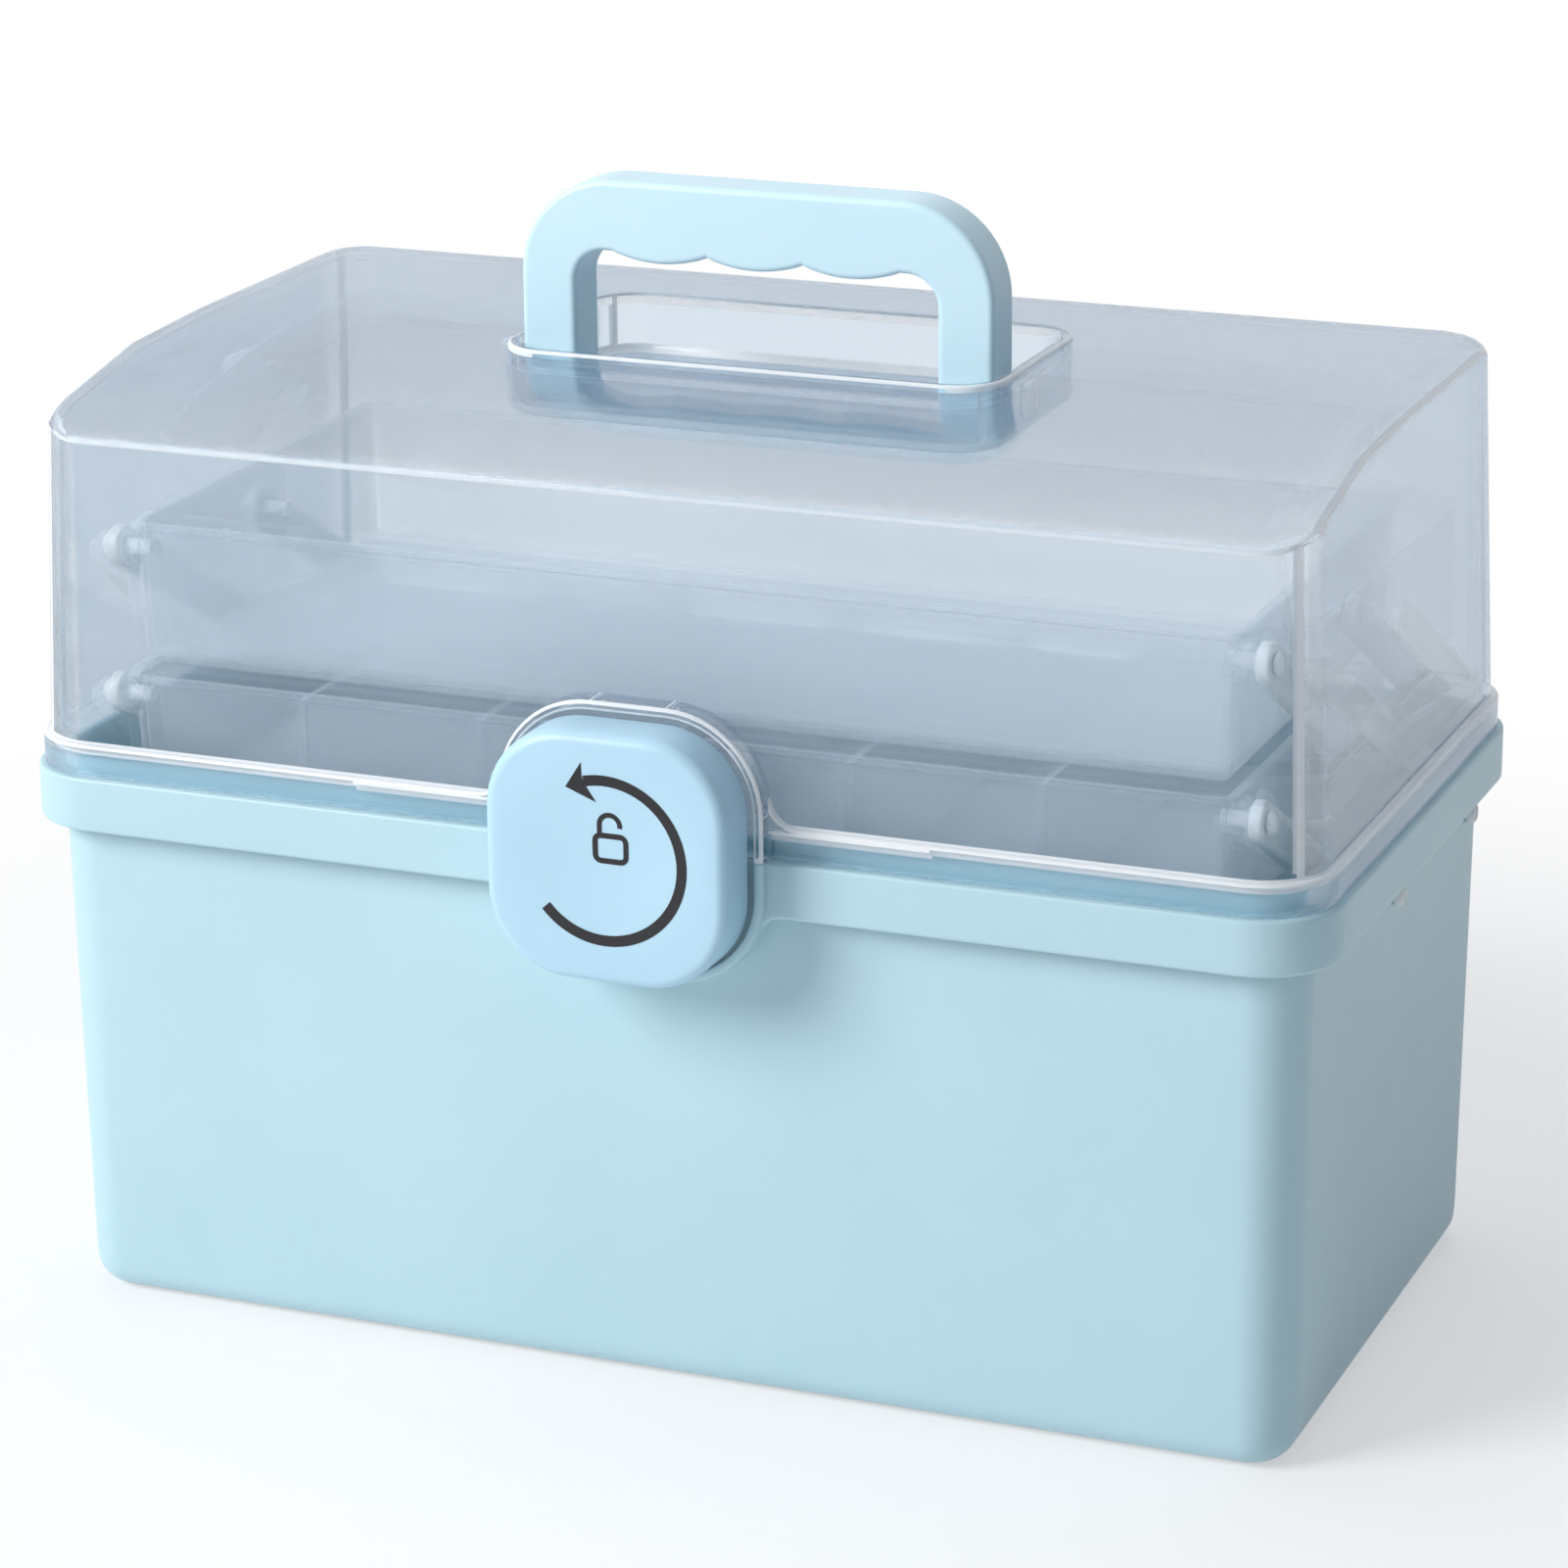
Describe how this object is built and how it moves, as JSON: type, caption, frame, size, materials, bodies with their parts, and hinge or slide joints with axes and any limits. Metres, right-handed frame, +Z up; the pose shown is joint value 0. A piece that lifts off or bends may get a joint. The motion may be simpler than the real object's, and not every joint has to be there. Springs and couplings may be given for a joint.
{
  "type": "medication lock box",
  "caption": "Moulded medication box with a clear domed lid, folding carrying handle, quarter-turn lock knob and clear trays on swinging arms.",
  "frame": {"origin": "middle of the face that the tub stands on", "axes": "+X along the box to the user's right, +Y from the lock knob at the front towards the hinge at the back, +Z up"},
  "size_m": [0.335, 0.2046, 0.2812],
  "materials": {
    "blue_plastic": "injection moulded polypropylene, light blue, soft gloss",
    "clear_plastic": "clear polystyrene with a faint blue tint, glossy",
    "white_plastic": "white moulded nylon, soft gloss",
    "plated_steel": "zinc plated steel"
  },
  "bodies": {
    "base": {"tub": "blue_plastic", "hinge_pin_left": "plated_steel", "hinge_pin_right": "plated_steel", "base_front_pin_left": "white_plastic", "base_front_pin_right": "white_plastic", "base_rear_pin_left": "white_plastic", "base_rear_pin_right": "white_plastic"},
    "lid": {"lid": "clear_plastic", "handle_pin_left": "white_plastic", "handle_pin_right": "white_plastic", "lock_washer": "plated_steel"},
    "handle": {"handle": "blue_plastic"},
    "knob": {"lock_knob": "blue_plastic", "lock_cam": "white_plastic", "lock_axle_screw": "plated_steel"},
    "lower_front_arms": {"lower_front_arm_left": "white_plastic", "lower_front_arm_right": "white_plastic"},
    "lower_rear_arms": {"lower_rear_arm_left": "white_plastic", "lower_rear_arm_right": "white_plastic"},
    "middle_tray": {"middle_tray": "clear_plastic", "tray_rail_left": "white_plastic", "tray_rail_right": "white_plastic", "middle_front_pin_left": "white_plastic", "middle_front_pin_right": "white_plastic", "middle_rear_pin_left": "white_plastic", "middle_rear_pin_right": "white_plastic", "rail_end_pin_left": "white_plastic", "rail_end_pin_right": "white_plastic", "rail_screw_left": "white_plastic", "rail_screw_right": "white_plastic"},
    "upper_front_arms": {"upper_front_arm_left": "white_plastic", "upper_front_arm_right": "white_plastic"},
    "upper_rear_arms": {"upper_rear_arm_left": "white_plastic", "upper_rear_arm_right": "white_plastic"},
    "top_tray": {"top_tray": "clear_plastic", "top_front_pin_left": "white_plastic", "top_front_pin_right": "white_plastic", "top_rear_pin_left": "white_plastic", "top_rear_pin_right": "white_plastic"}
  },
  "joints": [
    {"name": "lid_hinge", "type": "hinge", "parent": "base", "child": "lid", "pos_m": [0, 0.094, 0.1416], "axis": [-1, 0, 0], "range_deg": [0, 110]},
    {"name": "handle_fold", "type": "hinge", "parent": "lid", "child": "handle", "pos_m": [0, -0.0051, 0.23285], "axis": [-1, 0, 0], "range_deg": [0, 90]},
    {"name": "knob_turn", "type": "hinge", "parent": "lid", "child": "knob", "pos_m": [0, -0.095, 0.1417], "axis": [0, -1, 0], "range_deg": [-90, 0]},
    {"name": "lower_rear_swing", "type": "hinge", "parent": "base", "child": "lower_rear_arms", "pos_m": [0, 0.064, 0.1195], "axis": [-1, 0, 0], "range_deg": [0, 44]},
    {"name": "middle_tray_level", "type": "hinge", "parent": "lower_rear_arms", "child": "middle_tray", "pos_m": [0, -0.002, 0.1568], "axis": [-1, 0, 0], "range_deg": [-44, 0]},
    {"name": "lower_front_swing", "type": "hinge", "parent": "base", "child": "lower_front_arms", "pos_m": [0, -0.003, 0.1195], "axis": [-1, 0, 0], "range_deg": [0, 44]},
    {"name": "upper_rear_swing", "type": "hinge", "parent": "middle_tray", "child": "upper_rear_arms", "pos_m": [0, 0.07, 0.1485], "axis": [-1, 0, 0], "range_deg": [0, 44]},
    {"name": "upper_front_swing", "type": "hinge", "parent": "middle_tray", "child": "upper_front_arms", "pos_m": [0, -0.002, 0.1568], "axis": [-1, 0, 0], "range_deg": [0, 44]},
    {"name": "top_tray_level", "type": "hinge", "parent": "upper_rear_arms", "child": "top_tray", "pos_m": [0, 0.006, 0.1852], "axis": [-1, 0, 0], "range_deg": [-44, 0]}
  ],
  "couplings": [
    {"joint": "lower_rear_swing", "follows": "lid_hinge", "ratio": 0.4},
    {"joint": "middle_tray_level", "follows": "lid_hinge", "ratio": -0.4},
    {"joint": "lower_front_swing", "follows": "lid_hinge", "ratio": 0.4},
    {"joint": "upper_rear_swing", "follows": "lid_hinge", "ratio": 0.4},
    {"joint": "upper_front_swing", "follows": "lid_hinge", "ratio": 0.4},
    {"joint": "top_tray_level", "follows": "lid_hinge", "ratio": -0.4}
  ]
}
